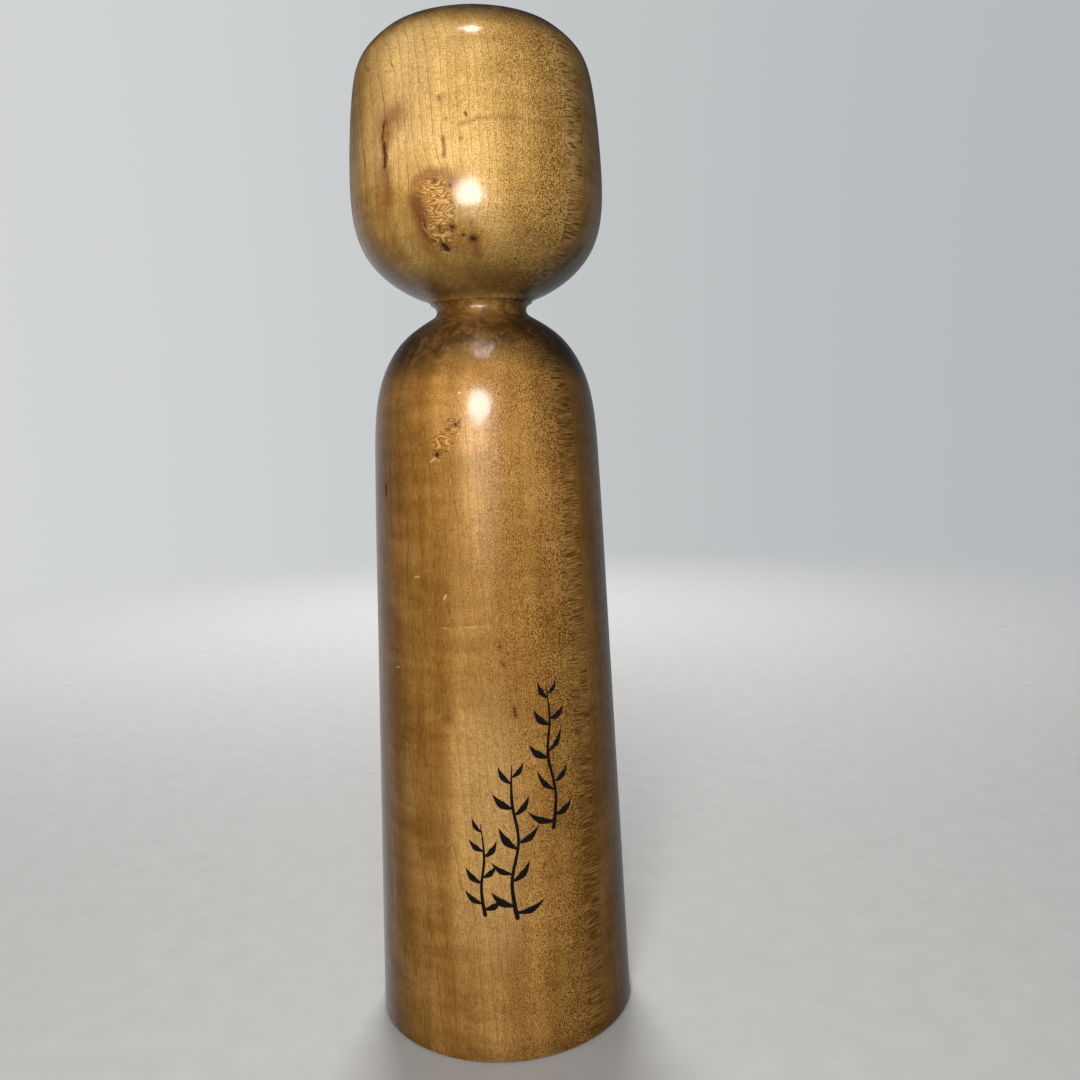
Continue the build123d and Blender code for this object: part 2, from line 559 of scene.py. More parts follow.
class Nodes:
    """A material's nodes, with one short call for each."""

    def __init__(self, tree):
        self.tree = tree

    def add(self, kind, inputs, **settings):
        node = self.tree.nodes.new(kind)
        for key, value in settings.items():
            setattr(node, key, value)
        for key, value in inputs.items():
            self.put(node.inputs[key], value)
        return node

    def put(self, socket, value):
        if isinstance(value, bpy.types.NodeSocket):
            self.tree.links.new(value, socket)
        else:
            socket.default_value = value

    def math(self, operation, a, b=0.0, c=0.0, clamp=False):
        inputs = {0: a, 1: b, 2: c}
        return self.add("ShaderNodeMath", inputs, operation=operation, use_clamp=clamp).outputs[0]

    def plus(self, a, b):
        return self.math("ADD", a, b)

    def times(self, a, b):
        return self.math("MULTIPLY", a, b)

    def vector(self, operation, a, b=(0, 0, 0)):
        return self.add("ShaderNodeVectorMath", {0: a, 1: b}, operation=operation).outputs[0]

    def scale(self, vector, factor):
        inputs = {0: vector, "Scale": factor}
        return self.add("ShaderNodeVectorMath", inputs, operation="SCALE").outputs[0]

    def length(self, vector):
        return self.add("ShaderNodeVectorMath", {0: vector}, operation="LENGTH").outputs["Value"]

    def spread(self, place, sizes):
        """Coordinates in which a pattern's features have these sizes."""
        return self.vector("MULTIPLY", place, tuple(1 / size for size in sizes))

    def noise(self, place, sizes, detail=1.0, roughness=0.5, distortion=0.0):
        """Noise round 0.5 whose features have these sizes."""
        inputs = {"Vector": self.spread(place, sizes), "Scale": 1.0, "Detail": detail,
                  "Roughness": roughness, "Distortion": distortion}
        return self.add("ShaderNodeTexNoise", inputs).outputs["Fac"]

    def rough(self, place, sizes, detail):
        """Noise about zero."""
        return self.math("SUBTRACT", self.noise(place, sizes, detail), 0.5)

    def drift(self, place, sizes):
        """Noise about zero along each of the three axes."""
        inputs = {"Vector": self.spread(place, sizes), "Scale": 1.0, "Detail": 1.0}
        noise = self.add("ShaderNodeTexNoise", inputs).outputs["Color"]
        return self.vector("SUBTRACT", noise, (0.5, 0.5, 0.5))

    def step(self, value, low, high, bottom=0.0, top=1.0):
        """Smooth step from bottom, at low, to top, at high."""
        inputs = {0: value, 1: low, 2: high, 3: bottom, 4: top}
        return self.add("ShaderNodeMapRange", inputs, interpolation_type="SMOOTHSTEP").outputs[0]

    def mix(self, share, a, b):
        return self.add("ShaderNodeMix", {0: share, 6: a, 7: b}, data_type="RGBA").outputs[2]

    def field(self, name, output="Fac"):
        return self.add("ShaderNodeAttribute", {}, attribute_name=name).outputs[output]

    def doll_place(self, shift):
        """Places in doll millimetres, with a shift that gives each material its own pattern."""
        place = self.add("ShaderNodeTexCoord", {}).outputs["Object"]
        return self.vector("ADD", self.vector("MULTIPLY", place, (1 / UNIT,) * 3), shift)

    def relief(self, height, distance, strength=0.5):
        """A normal for a height that goes up to a distance in doll millimetres."""
        inputs = {"Strength": strength, "Distance": distance * UNIT, "Height": height}
        return self.add("ShaderNodeBump", inputs).outputs[0]


def new_material(name):
    """A new material, with its node tree and its shader."""
    material = bpy.data.materials.new(name)
    material.use_nodes = True
    tree = material.node_tree
    return material, tree, tree.nodes["Principled BSDF"]


def colour(red, green, blue):
    return (red, green, blue, 1.0)


# -------- wood

# Colours that both pieces share
# The first is a pale wash for painted light.
PAINTED_LIGHT_WASH = colour(0.80, 0.58, 0.27)
BURL_GROUND = colour(0.35, 0.155, 0.030)
HALO_BROWN = colour(0.150, 0.050, 0.012)
DARK_MARK = colour(0.036, 0.0125, 0.0045)
PALE_MARK = colour(0.72, 0.50, 0.24)

# The tree's pith is this far outside the doll, and its growth rings are this far apart.
PITH_AWAY = 130
RING_GAP = 2.7


class Wood(Nodes):
    """Figured wood, built up as layers of colour.

    It is cut so that its rays lie flat in the surface at band_turn. The rays are long, thin ribbons:
    in the band where they lie in the surface they show as a ladder of fine rungs, on the flecked side
    as short flecks brought out by painted sheen, and elsewhere hardly at all.
    """

    def __init__(self, tree, pale, brown, gap, deep, band_turn, seed):
        super().__init__(tree)
        self.pale = pale
        self.brown = brown
        self.gap = gap
        self.deep = deep
        self.place = self.doll_place((seed, -2 * seed, 3 * seed))
        self.burl = self.field("burl")
        self.log = self.place_in_log(band_turn)
        self.broad = self.noise(self.log, (18, 11, 160), 3)
        self.vessels = self.noise(self.log, (0.24, 0.22, 6), 2, 0.6)
        self.ribbons = self.noise(self.log, (2.6, 0.17, 0.56), 0.6, 0.5, 0.14)
        self.mottle = self.noise(self.place, (4.0, 4.0, 5.0), 4, 0.7)
        blotches = self.step(self.mottle, 0.30, 0.66, 0.45, 1.15)
        # mottled stain field: real stains on the body, painted shade on the head
        self.stain = self.math("MULTIPLY", self.field("stain"), blotches, clamp=True)
        self.base = brown

    def place_in_log(self, band_turn):
        """Coordinates along the rays, across them and up the grain, a little crooked as in a log."""
        wander = self.vector("MULTIPLY", self.drift(self.place, (60, 60, 110)), (6, 6, 5))
        bent = self.vector("ADD", self.place, wander)
        bent = self.vector("ADD", bent, self.field("grain_shift", "Vector"))
        curl = self.scale(self.drift(self.place, (3.6, 3.6, 4.2)), self.times(self.burl, 6.0))
        turned = {"Vector": self.vector("ADD", bent, curl), "Angle": -math.radians(band_turn)}
        return self.add("ShaderNodeVectorRotate", turned, rotation_type="Z_AXIS").outputs[0]

    def lay(self, paint, share, strength=None):
        """Lay a colour over the wood so far, by a share of it and a strength."""
        if strength is not None:
            share = self.times(share, strength)
        self.base = self.mix(share, self.base, paint)

    def streaks(self, middle):
        """Broad streaks of tone up the grain, faint waves across it, and a pale wash of painted light
        where the tone field is high.
        """
        waves = self.noise(self.log, (26, 26, 6), 3)
        blotch = self.noise(self.place, (26, 26, 30), 3)
        tone = self.plus(self.times(self.broad, 0.5), self.times(waves, 0.25))
        tone = self.plus(tone, self.times(blotch, 0.25))
        self.lay(middle, self.step(tone, 0.34, 0.60))
        self.lay(self.pale, self.step(tone, 0.44, 0.70))
        # a pale wash of painted light where the tone field paints the wood as lit
        self.lay(PAINTED_LIGHT_WASH, self.step(self.field("tone"), 0.65, 1.25, 0, 0.5))

    def rings(self, line_strength):
        """Growth rings, each with a thin dark line at its end."""
        pith = self.vector("ADD", self.log, (PITH_AWAY, 0, 0))
        away = self.length(self.vector("MULTIPLY", pith, (1, 1, 0.02)))
        years = self.plus(self.math("DIVIDE", away, RING_GAP), self.times(self.broad, 2.4))
        ring = self.math("FRACT", years)
        end = self.step(ring, 1.0, 0.97)
        self.lay(self.brown, self.times(self.step(ring, 0.2, 0.95), end), 0.16)
        self.lay(self.deep, self.times(self.step(ring, 0.91, 0.95), end), line_strength)

    def threads(self):
        """Fine dark and light threads up the grain, a weave across it, specks and short dashes."""
        self.lay(self.brown, self.step(self.vessels, 0.51, 0.64, 0, 0.58))
        self.lay(self.pale, self.step(self.vessels, 0.48, 0.35, 0, 0.42))
        weave = self.noise(self.place, (2.6, 2.6, 0.34))
        self.lay(self.brown, self.step(weave, 0.52, 0.64, 0, 0.36))
        specks = self.noise(self.place, (0.42, 0.42, 0.5))
        self.lay(self.brown, self.step(specks, 0.50, 0.70, 0, 0.45))
        dashes = self.noise(self.place, (0.55, 0.55, 1.9))
        scattered = self.step(self.noise(self.place, (14, 14, 22)), 0.42, 0.60)
        self.lay(self.deep, self.step(dashes, 0.66, 0.74), self.times(scattered, 0.6))

    def rays(self):
        """Gold flecks with dark gaps, strong on the side of painted sheen, and the ladder where the
        rays lie flat.
        """
        patchy = self.step(self.noise(self.place, (8, 8, 20), 2), 0.36, 0.6, 0.65, 1)
        # the fleck field is partly painted sheen, strong on one side of the band
        flecked = self.times(self.field("fleck_and_sheen"), patchy)
        self.lay(self.pale, self.step(self.ribbons, 0.49, 0.58), self.times(flecked, 0.58))
        self.lay(self.gap, self.step(self.ribbons, 0.49, 0.37), self.times(flecked, 0.85))
        rungs = self.noise(self.log, (6.0, 0.9, 0.36), 0.4)
        frayed = self.times(self.rough(self.place, (1.2, 1.2, 2.0), 2), 0.6)
        ladder = self.step(self.plus(self.field("band"), frayed), 0.22, 0.50)
        ladder = self.times(ladder, patchy)
        self.lay(self.gap, self.step(rungs, 0.49, 0.38), self.times(ladder, 0.88))
        self.lay(self.pale, self.step(rungs, 0.52, 0.62), self.times(ladder, 0.50))

    def burls(self):
        """Winding light and dark lines, rings round an eye, and a brown ragged rim."""
        eye = self.field("eye")
        sway = self.vector("MULTIPLY", self.drift(self.place, (3.0, 3.0, 2.6)), (2.6, 2.6, 1.6))
        swirl = self.noise(self.vector("ADD", self.place, sway), (6.0, 6.0, 2.8), 0.4)
        swirl = self.times(swirl, self.math("MULTIPLY_ADD", eye, -6.6, 7.2))
        lines = self.math("PINGPONG", self.plus(swirl, self.times(eye, 2.4)), 0.5)
        ragged = self.times(self.rough(self.place, (2.2, 2.2, 2.2), 3), 0.5)
        patch = self.plus(self.burl, ragged)
        inside = self.step(patch, 0.20, 0.34)
        rim = self.times(inside, self.step(patch, 0.50, 0.32))
        self.lay(BURL_GROUND, inside, 0.78)
        self.lay(self.gap, rim, 0.40)
        light = self.times(inside, self.math("MULTIPLY_ADD", eye, 0.45, 0.50))
        self.lay(self.pale, self.step(lines, 0.26, 0.46), light)
        self.lay(self.deep, self.step(lines, 0.12, 0.02), self.times(inside, 0.75))

    def stains(self):
        """The dark stain, which on the head is painted shade, and the halos, dark cores and pale
        cores of the marks, with rough edges.
        """
        # real stain on the body, painted shade under the head's chin and at its crown
        self.lay(self.deep, self.stain, 0.86)
        rough = self.rough(self.place, (0.9, 0.9, 1.3), 3)
        halo = self.step(self.plus(self.field("halo"), self.times(rough, 0.35)), 0.0, 1.0)
        self.lay(HALO_BROWN, halo, 0.85)
        dark = self.step(self.plus(self.field("dark"), self.times(rough, 0.9)), 0.34, 0.66)
        self.lay(DARK_MARK, dark, 0.92)
        pale = self.step(self.plus(self.field("pale"), self.times(rough, 0.5)), 0.25, 0.7)
        self.lay(PALE_MARK, pale, 0.7)

    def lacquer(self, surface):
        """The wood's colour is scaled by its painted light and shade, and it shimmers under the
        lacquer, which has faint waves and a few specks of dust.
        """
        # the tone field's painted light and shade scales the wood's colour
        shade = self.math("MULTIPLY_ADD", self.field("tone"), 0.76, 0.53)
        self.put(surface.inputs["Base Color"], self.scale(self.base, shade))
        self.put(surface.inputs["Roughness"], self.step(self.ribbons, 0.3, 0.7, 0.52, 0.44))
        surface.inputs["Metallic"].default_value = 0.1
        surface.inputs["Specular IOR Level"].default_value = 0.15
        surface.inputs["Coat Weight"].default_value = 1.0
        surface.inputs["Coat Roughness"].default_value = 0.16
        surface.inputs["Coat IOR"].default_value = 1.4
        figure = self.plus(self.times(self.ribbons, 0.6), self.times(self.vessels, 0.4))
        self.put(surface.inputs["Normal"], self.relief(figure, 0.25))
        ripple = self.noise(self.place, (7, 7, 16), 2)
        dust = self.step(self.noise(self.place, (1.1, 1.1, 1.1)), 0.74, 0.82)
        film = self.plus(ripple, self.times(dust, 0.12))
        film = self.plus(film, self.times(self.vessels, 0.05))
        film = self.plus(film, self.times(self.times(self.mottle, self.stain), 1.6))
        self.put(surface.inputs["Coat Normal"], self.relief(film, 0.35))


def wood(name, pale, middle, brown, gap, deep, ring_line, band_turn, seed):
    """Lacquered wood, with its colours from the palest to the darkest, and its rings' strength."""
    material, tree, surface = new_material(name)
    grain = Wood(tree, pale, brown, gap, deep, band_turn, seed)
    grain.streaks(middle)
    grain.rings(ring_line)
    grain.threads()
    grain.rays()
    grain.burls()
    grain.stains()
    grain.lacquer(surface)
    return material


# -------- paint

# Paint stands this proud of the wood, goes this far into it, and its rim lies just under the surface.
PAINT_PROUD = 0.07
PAINT_ROOT = 0.08
PAINT_RIM = -0.02

# Share of its full thickness that a stroke has beside its rim
PAINT_THIN = 0.35

# The least half width of a stroke
BRUSH_HAIR = 0.015


def ink(slot, body_colour, thin_colour, seed):
    """Brushed ink or dye under lacquer, thinner where the brush ran dry: its material and slot."""
    material, tree, surface = new_material(slot + "_brushed")
    n = Nodes(tree)
    place = n.doll_place((seed, seed, -seed))
    bristles = n.noise(place, (0.35, 0.35, 3.0), 2, 0.6)
    pool = n.noise(place, (2.2, 2.2, 3.5), 3, 0.6)
    thin = n.plus(n.times(bristles, 0.5), n.times(pool, 0.5))
    n.put(surface.inputs["Base Color"], n.mix(n.step(thin, 0.48, 0.72), body_colour, thin_colour))
    n.put(surface.inputs["Roughness"], n.step(pool, 0.3, 0.7, 0.42, 0.30))
    surface.inputs["Specular IOR Level"].default_value = 0.35
    surface.inputs["Coat Weight"].default_value = 0.4
    surface.inputs["Coat Roughness"].default_value = 0.14
    n.put(surface.inputs["Normal"], n.relief(bristles, 0.1, 0.25))
    return material, slot


def brush(points, widths, across=5, step=0.7):
    """A brush stroke: a strip of places (sideways, height) along a smooth path through the points.

    widths has the brush's width at each point. The stroke's ends are rounded.
    """
    points = np.asarray(points, float)
    total = length_of(points)
    count = max(8, round(total / step))
    ease = np.linspace(-1, 1, count + 1)
    along = total * (0.5 + 0.5 * np.sin(ease * np.pi / 2))
    line = smooth_line(points, along)
    gaps = np.hypot(*np.diff(points, axis=0).T)
    points_along = np.concatenate([[0], np.cumsum(gaps)])
    half = 0.5 * np.interp(along, points_along, widths)
    nose = np.clip(np.minimum(along, total - along) / (0.5 * max(widths)), 0, 1)
    half = half * np.sqrt(np.clip(1 - (1 - nose) ** 2, 0, 1)) + BRUSH_HAIR
    slope = np.gradient(line, axis=0)
    slope /= np.maximum(np.hypot(*slope.T), 1e-9)[:, None]
    normal = np.stack([-slope[:, 1], slope[:, 0]], 1)
    side = np.linspace(-1, 1, across)
    return line[:, None] + normal[:, None] * (half[:, None] * side)[..., None]


def wash(left, right, bottom, top, across, rows):
    """A filled patch between two edges, each a function of the height."""
    heights = np.linspace(bottom, top, rows)
    edges = np.array([[left(h), right(h)] for h in heights])
    share = np.linspace(0, 1, across)
    sideways = edges[:, :1] + (edges[:, 1:] - edges[:, :1]) * share
    return np.stack([sideways, np.broadcast_to(heights[:, None], sideways.shape)], 2)


def painted(name, node, middle_turn, reach, strips, paint):
    """Brush strokes as one thin raised piece on the skin.

    Sideways places are millimetres round the skin from middle_turn, at the radius reach.
    """
    material, slot = paint
    skin = skins[node]
    places, faces = [], []
    for strip in strips:
        rows, across = strip.shape[:2]
        edge = np.zeros((rows, across), bool)
        edge[[0, -1], :] = True
        edge[:, [0, -1]] = True
        rim = np.minimum(np.arange(across), np.arange(across)[::-1]) / max(1, (across - 1) / 2)
        proud = np.where(edge, PAINT_RIM, PAINT_PROUD * np.sqrt(np.clip(rim, PAINT_THIN, 1)))
        turn = middle_turn + np.degrees(strip[..., 0] / reach)
        top = skin.place(turn, strip[..., 1], proud).reshape(-1, 3)
        under = skin.place(turn, strip[..., 1], -PAINT_ROOT).reshape(-1, 3)
        start = len(places)
        upper = start + np.arange(rows * across).reshape(rows, across)
        inner = ~edge.ravel()
        lower = upper.ravel().copy()
        lower[inner] = start + rows * across + np.arange(inner.sum())
        lower = lower.reshape(rows, across)
        places.extend(top.tolist())
        places.extend(under[inner].tolist())
        corner, beside, above = strip[0, 0], strip[0, -1], strip[-1, 0]
        turned = np.cross(beside - corner, above - corner) < 0
        for grid, flip in ((upper, turned), (lower, not turned)):
            quads = np.stack([grid[:-1, :-1], grid[:-1, 1:], grid[1:, 1:], grid[1:, :-1]], -1)
            quads = quads.reshape(-1, 4)
            faces.extend((quads[:, ::-1] if flip else quads).tolist())
    mesh = bpy.data.meshes.new(name)
    mesh.from_pydata(places, [], faces)
    mesh.shade_smooth()
    mesh.materials.append(material)
    piece = into_scene(name, mesh)
    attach(piece, node)
    return piece


def heading(degrees):
    """Direction (sideways, up) at this many degrees from straight up."""
    return np.array([math.sin(math.radians(degrees)), math.cos(math.radians(degrees))])


def leaf(foot, lean, size, width):
    """A leaf brushed from its foot: lean is in degrees from straight up, positive to the right."""
    foot = np.array(foot)
    way = heading(lean)
    side = np.array([way[1], -way[0]])
    bow = math.copysign(0.12 * size, lean)
    middle = foot + way * size * 0.45 + side * bow
    tip = foot + way * size
    return brush([foot, middle, tip], [width * 0.4, width * 1.5, 0.12], step=0.5)


# How much larger a sprig's leaves are brushed than they are listed
LEAF_LENGTH = 1.5
LEAF_WIDTH = 1.3


def sprig(stem, stem_widths, leaves):
    """A stem with leaves at given shares of its length: each leaf is (share, lean, size, width)."""
    strips = [brush(stem, stem_widths)]
    total = length_of(stem)
    for share, lean, size, width in leaves:
        foot = smooth_line(stem, np.array([share * total]))[0]
        strips.append(leaf(foot, lean, LEAF_LENGTH * size, LEAF_WIDTH * width))
    return strips


def paint_back(black):
    """Three brushed sprigs low on the back."""
    reach = skins["body"].radius_at(110)
    tall = sprig(
        [(22.5, 100.5), (24.4, 116.0), (21.6, 134.0), (23.2, 150.0), (22.0, 164.0)],
        [2.3, 1.5, 1.7, 1.2, 0.45],
        [(0.06, -64, 9.0, 1.9), (0.10, 58, 7.0, 2.2), (0.27, -40, 8.5, 1.6), (0.33, 48, 6.5, 1.8),
         (0.50, -52, 7.5, 2.0), (0.54, 36, 8.0, 1.7), (0.72, -44, 7.0, 1.9), (0.76, 56, 6.0, 2.0),
         (0.90, -30, 6.0, 1.6), (0.93, 38, 5.0, 1.4)],
    )
    middle = sprig(
        [(5.2, 63.5), (3.4, 80.0), (6.8, 98.0), (4.6, 116.0), (5.2, 131.0)],
        [2.4, 1.7, 1.4, 1.6, 0.45],
        [(0.05, 70, 9.0, 2.0), (0.09, -55, 8.0, 2.2), (0.25, 42, 8.0, 1.9), (0.30, -58, 7.0, 1.7),
         (0.46, -38, 8.5, 2.1), (0.50, 54, 7.5, 2.0), (0.68, 40, 7.0, 1.8), (0.72, -50, 7.5, 2.1),
         (0.88, -34, 6.5, 1.6), (0.92, 42, 5.5, 1.5)],
    )
    small = sprig(
        [(-8.2, 65.5), (-9.6, 77.0), (-8.0, 91.0), (-9.2, 106.5)],
        [2.1, 1.4, 1.3, 0.45],
        [(0.08, 60, 6.0, 1.8), (0.14, -52, 6.5, 1.7), (0.36, -44, 6.5, 1.8), (0.42, 48, 5.5, 1.6),
         (0.64, 38, 6.0, 1.7), (0.70, -50, 5.5, 1.6), (0.90, -32, 5.0, 1.3)],
    )
    painted("back_sprigs", "body", BACK, reach, tall + middle + small, black)


def mirrored(strokes):
    """Strokes (points, widths) on the +X side of the face, with the same on the other side."""
    strips = []
    for points, widths in strokes:
        strips.append(brush(points, widths))
        strips.append(brush([(-x, z) for x, z in points], widths))
    return strips


def paint_face(black, red):
    """Hair, brows, eyes, nose and mouth on the front of the head."""
    reach = skins["head"].radius_at(390)

    def hair_side(height):
        return 88 - 20 * ((height - 434) / 22) ** 2

    cap = wash(lambda h: -hair_side(h), hair_side, 421, 446.0, 121, 33)
    fringe = [brush([(x, 424), (x * 0.97, 415), (x * 0.92, 407 + 0.006 * x * x)], [4.6, 4.2, 0.5])
              for x in np.linspace(-27, 27, 15)]
    locks = mirrored([
        ([(52, 440), (58, 420), (60, 396), (56, 372)], [12, 17, 15, 1.2]),
        ([(60, 440), (67, 420), (69, 398), (64, 378)], [10, 14, 12, 1.0]),
        ([(46, 436), (50, 418), (52, 400), (50.5, 386)], [8, 8, 5, 0.6]),
    ])
    painted("hair", "head", FACE, reach, [cap] + fringe + locks, black)
    ribbon = mirrored([
        ([(34 + 5 * i, 428 + 1.2 * i), (37 + 5 * i, 421 + 0.6 * i), (43 + 5 * i, 417 + 0.4 * i)],
         [2.6, 2.0, 0.4]) for i in range(3)
    ])
    painted("hair_ribbon", "head", FACE, reach, ribbon, red)
    brows = mirrored([([(8.5, 399.5), (15, 402.6), (24.5, 400.6)], [0.7, 1.3, 0.35])])
    painted("brows", "head", FACE, reach, brows, black)
    eyes = mirrored([
        ([(8.2, 388.6), (13.5, 391.6), (20, 391.0), (25.0, 387.6)], [0.5, 1.5, 1.3, 0.4]),
        ([(10.6, 387.0), (16.0, 386.0), (21.5, 386.8)], [0.25, 0.6, 0.25]),
        ([(14.2, 388.9), (16.4, 388.9), (18.6, 388.9)], [3.0, 3.9, 3.0]),
    ])
    painted("eyes", "head", FACE, reach, eyes, black)
    nose = [brush([(1.2, 384), (2.6, 375.5), (1.2, 372.2), (-2.4, 372.4)], [0.35, 0.8, 0.9, 0.3])]
    painted("nose", "head", FACE, reach, nose, black)
    mouth = [
        brush([(-4.6, 362.6), (-2.2, 364.0), (0, 363.1), (2.2, 364.0), (4.6, 362.6)],
              [0.5, 1.7, 1.3, 1.7, 0.5]),
        brush([(-3.0, 361.2), (0, 360.2), (3.0, 361.2)], [0.6, 2.1, 0.6]),
    ]
    painted("mouth", "head", FACE, reach, mouth, red)


def flower(x, z, size, petals, turn):
    """A round flower: petals brushed outwards from a small ring, the first at turn degrees."""
    middle = np.array([x, z])
    widths = [size * 0.12, size * 0.36, size * 0.42]
    strips = []
    for i in range(petals):
        way = heading(turn + 360 * i / petals)
        start, end = middle + way * size * 0.22, middle + way * size
        strips.append(brush([start, (start + end) / 2, end], widths, step=0.6))
    return strips


def paint_dress(black, red, green):
    """A plain crossed collar, and three flowers with leaves, on the front of the body."""
    reach = skins["body"].radius_at(160)
    collar = [
        brush([(-46, 312), (-30, 296), (-10, 268), (6, 240)], [1.6, 3.0, 3.0, 2.0]),
        brush([(46, 312), (30, 296), (12, 270), (-1, 250)], [1.6, 3.0, 3.0, 2.0]),
    ]
    painted("collar_red", "body", FACE, reach, collar, red)
    edge = [
        brush([(-53, 310), (-36, 291), (-16, 262), (1, 232)], [0.7, 1.2, 1.2, 0.5]),
        brush([(53, 310), (36, 291), (19, 265), (6, 246)], [0.7, 1.2, 1.2, 0.5]),
    ]
    painted("collar_edge", "body", FACE, reach, edge, black)
    blooms = [(0, 190, 17, 11, 0), (-13, 128, 14, 10, 12), (13, 72, 15, 10, 8)]
    flowers = [petal for bloom in blooms for petal in flower(*bloom)]
    painted("flowers", "body", FACE, reach, flowers, red)
    hearts = [brush([(x - 1.6, z), (x, z), (x + 1.6, z)], [2.6, 3.4, 2.6]) for x, z, *_ in blooms]
    painted("flower_hearts", "body", FACE, reach, hearts, black)
    stems = [
        brush([(0, 174), (3, 150), (-3, 118), (4, 92), (0, 30)], [1.2, 1.6, 1.5, 1.6, 2.0]),
        brush([(2, 100), (10, 92), (13, 88)], [1.2, 1.2, 0.8]),
    ]
    painted("stems", "body", FACE, reach, stems, black)
    leaves = [leaf(foot, lean, size, width) for foot, lean, size, width in (
        ((2, 152), 55, 24, 6.5), ((1, 145), -60, 22, 6.0), ((-2, 112), 62, 22, 6.0),
        ((3, 96), -58, 24, 6.5), ((2, 60), -52, 24, 6.5), ((1, 45), 60, 24, 6.5),
        ((1, 38), -62, 20, 5.5),
    )]
    painted("leaves", "body", FACE, reach, leaves, green)


# -------- studio

# Distances from the doll at which the floor starts to fade, has gone and ends, in doll heights, and
# how far it lies below the foot, in metres
FLOOR_SOLID = 0.5
FLOOR_GONE = 4.2
FLOOR_REACH = 4.4
FLOOR_DROP = 0.0002
FLOOR_SIDES = 96

# Size in metres of the unevenness in the floor's tone
GRIT = 1 / 60


def pale_floor():
    """A large round pale floor that fades into the pale room, with fine unevenness in its tone."""
    material, tree, surface = new_material("floor")
    n = Nodes(tree)
    place = n.add("ShaderNodeTexCoord", {}).outputs["Object"]
    grit = n.noise(place, (GRIT, GRIT, GRIT), 4)
    tone = n.mix(grit, colour(0.56, 0.56, 0.55), colour(0.65, 0.65, 0.64))
    n.put(surface.inputs["Base Color"], tone)
    surface.inputs["Roughness"].default_value = 0.75
    n.put(surface.inputs["Alpha"], n.step(n.length(place), FLOOR_GONE * TALL, FLOOR_SOLID * TALL))
    turns = np.linspace(0, 2 * math.pi, FLOOR_SIDES, endpoint=False)
    reach = FLOOR_REACH * TALL
    points = [(reach * math.cos(a), reach * math.sin(a), -FLOOR_DROP) for a in turns]
    mesh = bpy.data.meshes.new("floor")
    mesh.from_pydata(points, [], [list(range(len(points)))])
    mesh.materials.append(material)
    floor = into_scene("floor", mesh)
    floor.visible_diffuse = False
    floor.visible_glossy = False


def soft_light(name, place, aim, size, power, tint=(1, 1, 1), in_gloss=True, in_shade=True):
    """An oval area light, turned from its place towards a height on the doll's axis.

    Its place, its aim and its size (width, height) are in doll heights. in_gloss says that gloss
    mirrors it, and in_shade that it lights matt surfaces.
    """
    light = bpy.data.lights.new(name, "AREA")
    light.shape = "ELLIPSE"
    light.size, light.size_y = (TALL * s for s in size)
    light.energy = power
    light.color = tint
    lamp = into_scene(name, light)
    lamp.location = Vector(place) * TALL
    way = Vector((0, 0, aim)) - Vector(place)
    lamp.rotation_euler = way.to_track_quat("-Z", "Y").to_euler()
    lamp.visible_camera = False
    lamp.visible_glossy = in_gloss
    lamp.visible_diffuse = in_shade


# The near light stands a little to the left of the doll's back, as the camera sees it. Its soft edge
# is a stack of ovals of dim light behind it, each larger than the one before.
NEAR_SIDE = 0.058
NEAR_BACK = 0.55
NEAR_UP = 0.78
NEAR_AIM = 0.72
NEAR_SIZE = (0.20, 0.17)
GLOWS = 4
GLOW_UP = 0.70
GLOW_POWER = 0.32


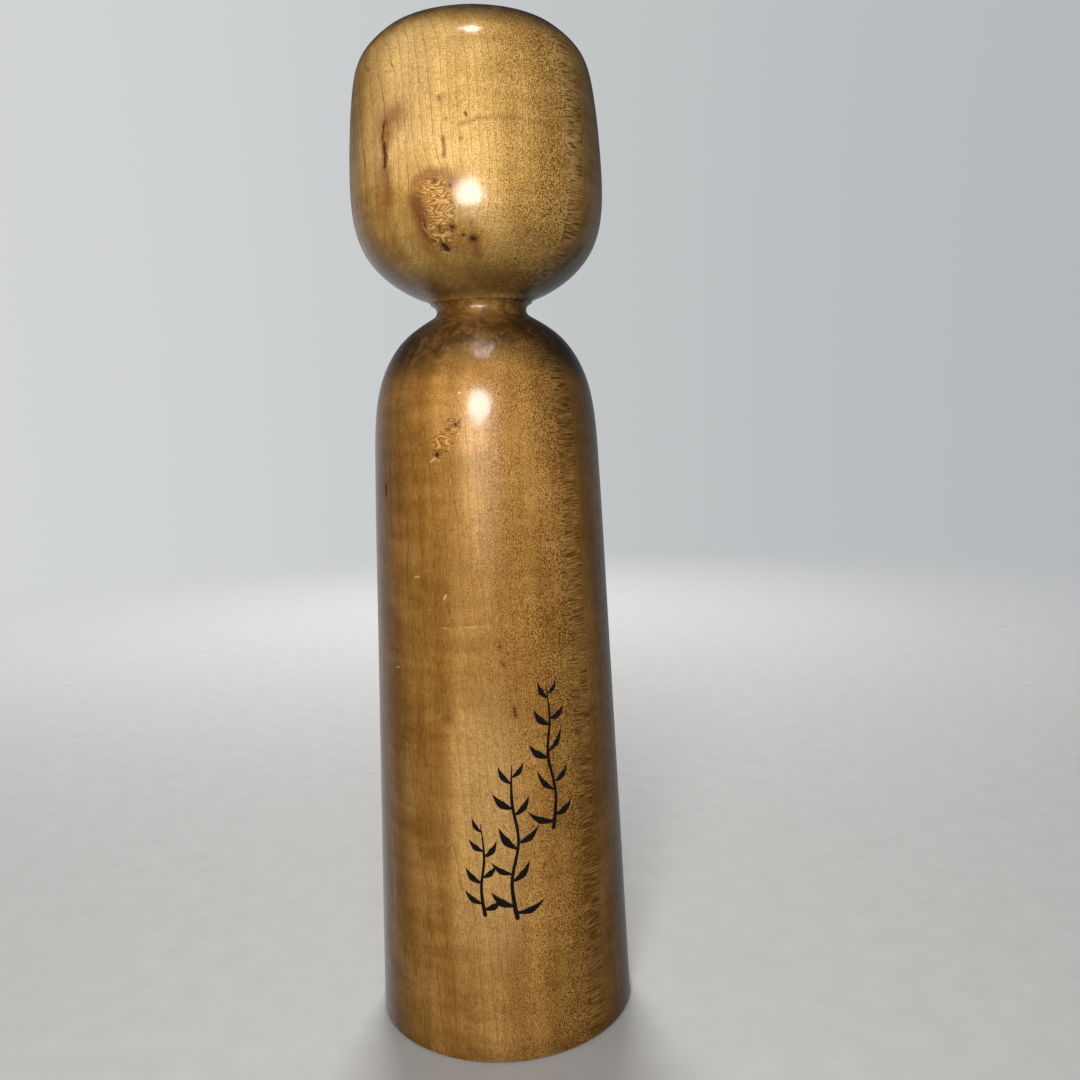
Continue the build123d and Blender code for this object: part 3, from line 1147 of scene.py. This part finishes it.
def studio():
    """A small soft light near the doll's back, broad soft light, a lamp above, and a dim room."""
    soft_light("near_light", (NEAR_SIDE, NEAR_BACK, NEAR_UP), NEAR_AIM, NEAR_SIZE, 0.25,
               (0.98, 0.99, 1.0))
    soft_light("near_core", (NEAR_SIDE, NEAR_BACK - 0.001, NEAR_UP), NEAR_AIM, NEAR_SIZE, 0.16,
               (0.88, 0.94, 1.0), in_shade=False)
    for i in range(GLOWS):
        width, height = 0.20 + 0.06 * i, 0.26 + 0.10 * i
        soft_light(f"near_glow_{i}", (NEAR_SIDE, NEAR_BACK + 0.002 * (i + 1), GLOW_UP), GLOW_UP,
                   (width, height), GLOW_POWER * width * height, (0.93, 0.95, 1.0), in_shade=False)
    soft_light("key", (0.45, 2.45, 1.0), 0.5, (0.8, 0.8), 10.0, (1.0, 0.97, 0.93), in_gloss=False)
    soft_light("ceiling_lamp", (0.0, 0.88, 2.4), 0.5, (0.37, 0.37), 1.9, (1.0, 0.98, 0.95),
               in_shade=False)
    soft_light("front_fill", (0.0, -3.8, 2.6), 0.3, (2.6, 2.6), 44.0, in_gloss=False)

    world = bpy.data.worlds.new("studio")
    world.use_nodes = True
    bpy.context.scene.world = world
    n = Nodes(world.node_tree)
    way = n.add("ShaderNodeTexCoord", {}).outputs["Generated"]
    parts = n.add("ShaderNodeSeparateXYZ", {0: way}).outputs
    x, y, z = parts[0], parts[1], parts[2]
    behind = n.times(n.step(y, -0.15, -0.85), n.step(z, 0.45, 0.0))
    pale_wall = n.mix(n.step(x, -0.35, 0.25), colour(0.21, 0.22, 0.22), colour(0.44, 0.45, 0.46))
    dim_room = n.mix(n.step(z, -0.1, -0.3), colour(0.045, 0.047, 0.05), colour(0.10, 0.075, 0.045))
    room = n.mix(behind, dim_room, pale_wall)
    backdrop = n.mix(n.step(x, -0.6, 0.6), colour(0.47, 0.485, 0.50), colour(0.66, 0.675, 0.675))
    ray = n.add("ShaderNodeLightPath", {}).outputs
    lit = n.mix(ray["Is Glossy Ray"], colour(0.05, 0.05, 0.05), room)
    background = world.node_tree.nodes["Background"]
    n.put(background.inputs["Color"], n.mix(ray["Is Camera Ray"], lit, backdrop))
    background.inputs["Strength"].default_value = 1.0


# The camera stands behind the doll, a little above its middle, and looks slightly down. Its place is
# in doll heights, its turns in degrees and its lens in millimetres.
CAMERA_BACK = 1.0202
CAMERA_UP = 0.5987
CAMERA_YAW = 2.875
CAMERA_PITCH = 6.16
CAMERA_ROLL = -1.942
CAMERA_LENS = 32.95


def place_camera():
    yaw, pitch, roll = (math.radians(a) for a in (CAMERA_YAW, CAMERA_PITCH, CAMERA_ROLL))
    flat = math.cos(pitch)
    forward = Vector((-math.sin(yaw) * flat, -math.cos(yaw) * flat, -math.sin(pitch)))
    level = Vector((-math.cos(yaw), math.sin(yaw), 0))
    up = level.cross(forward)
    right = math.cos(roll) * level + math.sin(roll) * up
    top = math.cos(roll) * up - math.sin(roll) * level
    data = bpy.data.cameras.new("camera")
    data.lens = CAMERA_LENS
    data.sensor_width = 36
    data.clip_start = 0.01
    camera = into_scene("camera", data)
    turned = Matrix((right, top, -forward)).transposed().to_4x4()
    camera.matrix_world = Matrix.Translation((0, CAMERA_BACK * TALL, CAMERA_UP * TALL)) @ turned
    bpy.context.scene.camera = camera


# -------- the doll

# Turns at which the rays lie flat in the surface
BODY_BAND = 42
HEAD_BAND = 48

place_camera()

# the body's stain field holds its stains, and its tone field painted light and shade
body = turned_piece(
    "body_turned", "body", body_rows(), BODY_MARKS, BODY_BURLS, body_stain, body_painted_light_shade, BODY_BAND,
)
body.data.materials.append(wood(
    "body_wood_lacquered",
    pale=colour(0.65, 0.365, 0.105), middle=colour(0.37, 0.170, 0.028),
    brown=colour(0.205, 0.082, 0.010), gap=colour(0.115, 0.042, 0.005),
    deep=colour(0.055, 0.020, 0.0035), ring_line=0.42, band_turn=BODY_BAND, seed=11,
))
# the head's stain field holds painted shade, and its tone field painted light and shade
head = turned_piece(
    "head_turned", "head", head_rows(), HEAD_MARKS, HEAD_BURLS, head_painted_shade, head_painted_light_shade, HEAD_BAND,
)
head.data.materials.append(wood(
    "head_wood_lacquered",
    pale=colour(0.77, 0.500, 0.175), middle=colour(0.46, 0.245, 0.046),
    brown=colour(0.25, 0.112, 0.015), gap=colour(0.135, 0.055, 0.007),
    deep=colour(0.065, 0.025, 0.004), ring_line=0.75, band_turn=HEAD_BAND, seed=37,
))

black = ink("black_ink", colour(0.006, 0.005, 0.007), colour(0.022, 0.014, 0.010), 3)
red = ink("red_dye", colour(0.40, 0.022, 0.012), colour(0.55, 0.075, 0.030), 5)
green = ink("green_dye", colour(0.030, 0.115, 0.040), colour(0.085, 0.19, 0.060), 7)
paint_back(black)
paint_face(black, red)
paint_dress(black, red, green)

pale_floor()
studio()
bpy.context.scene.view_settings.view_transform = "Standard"
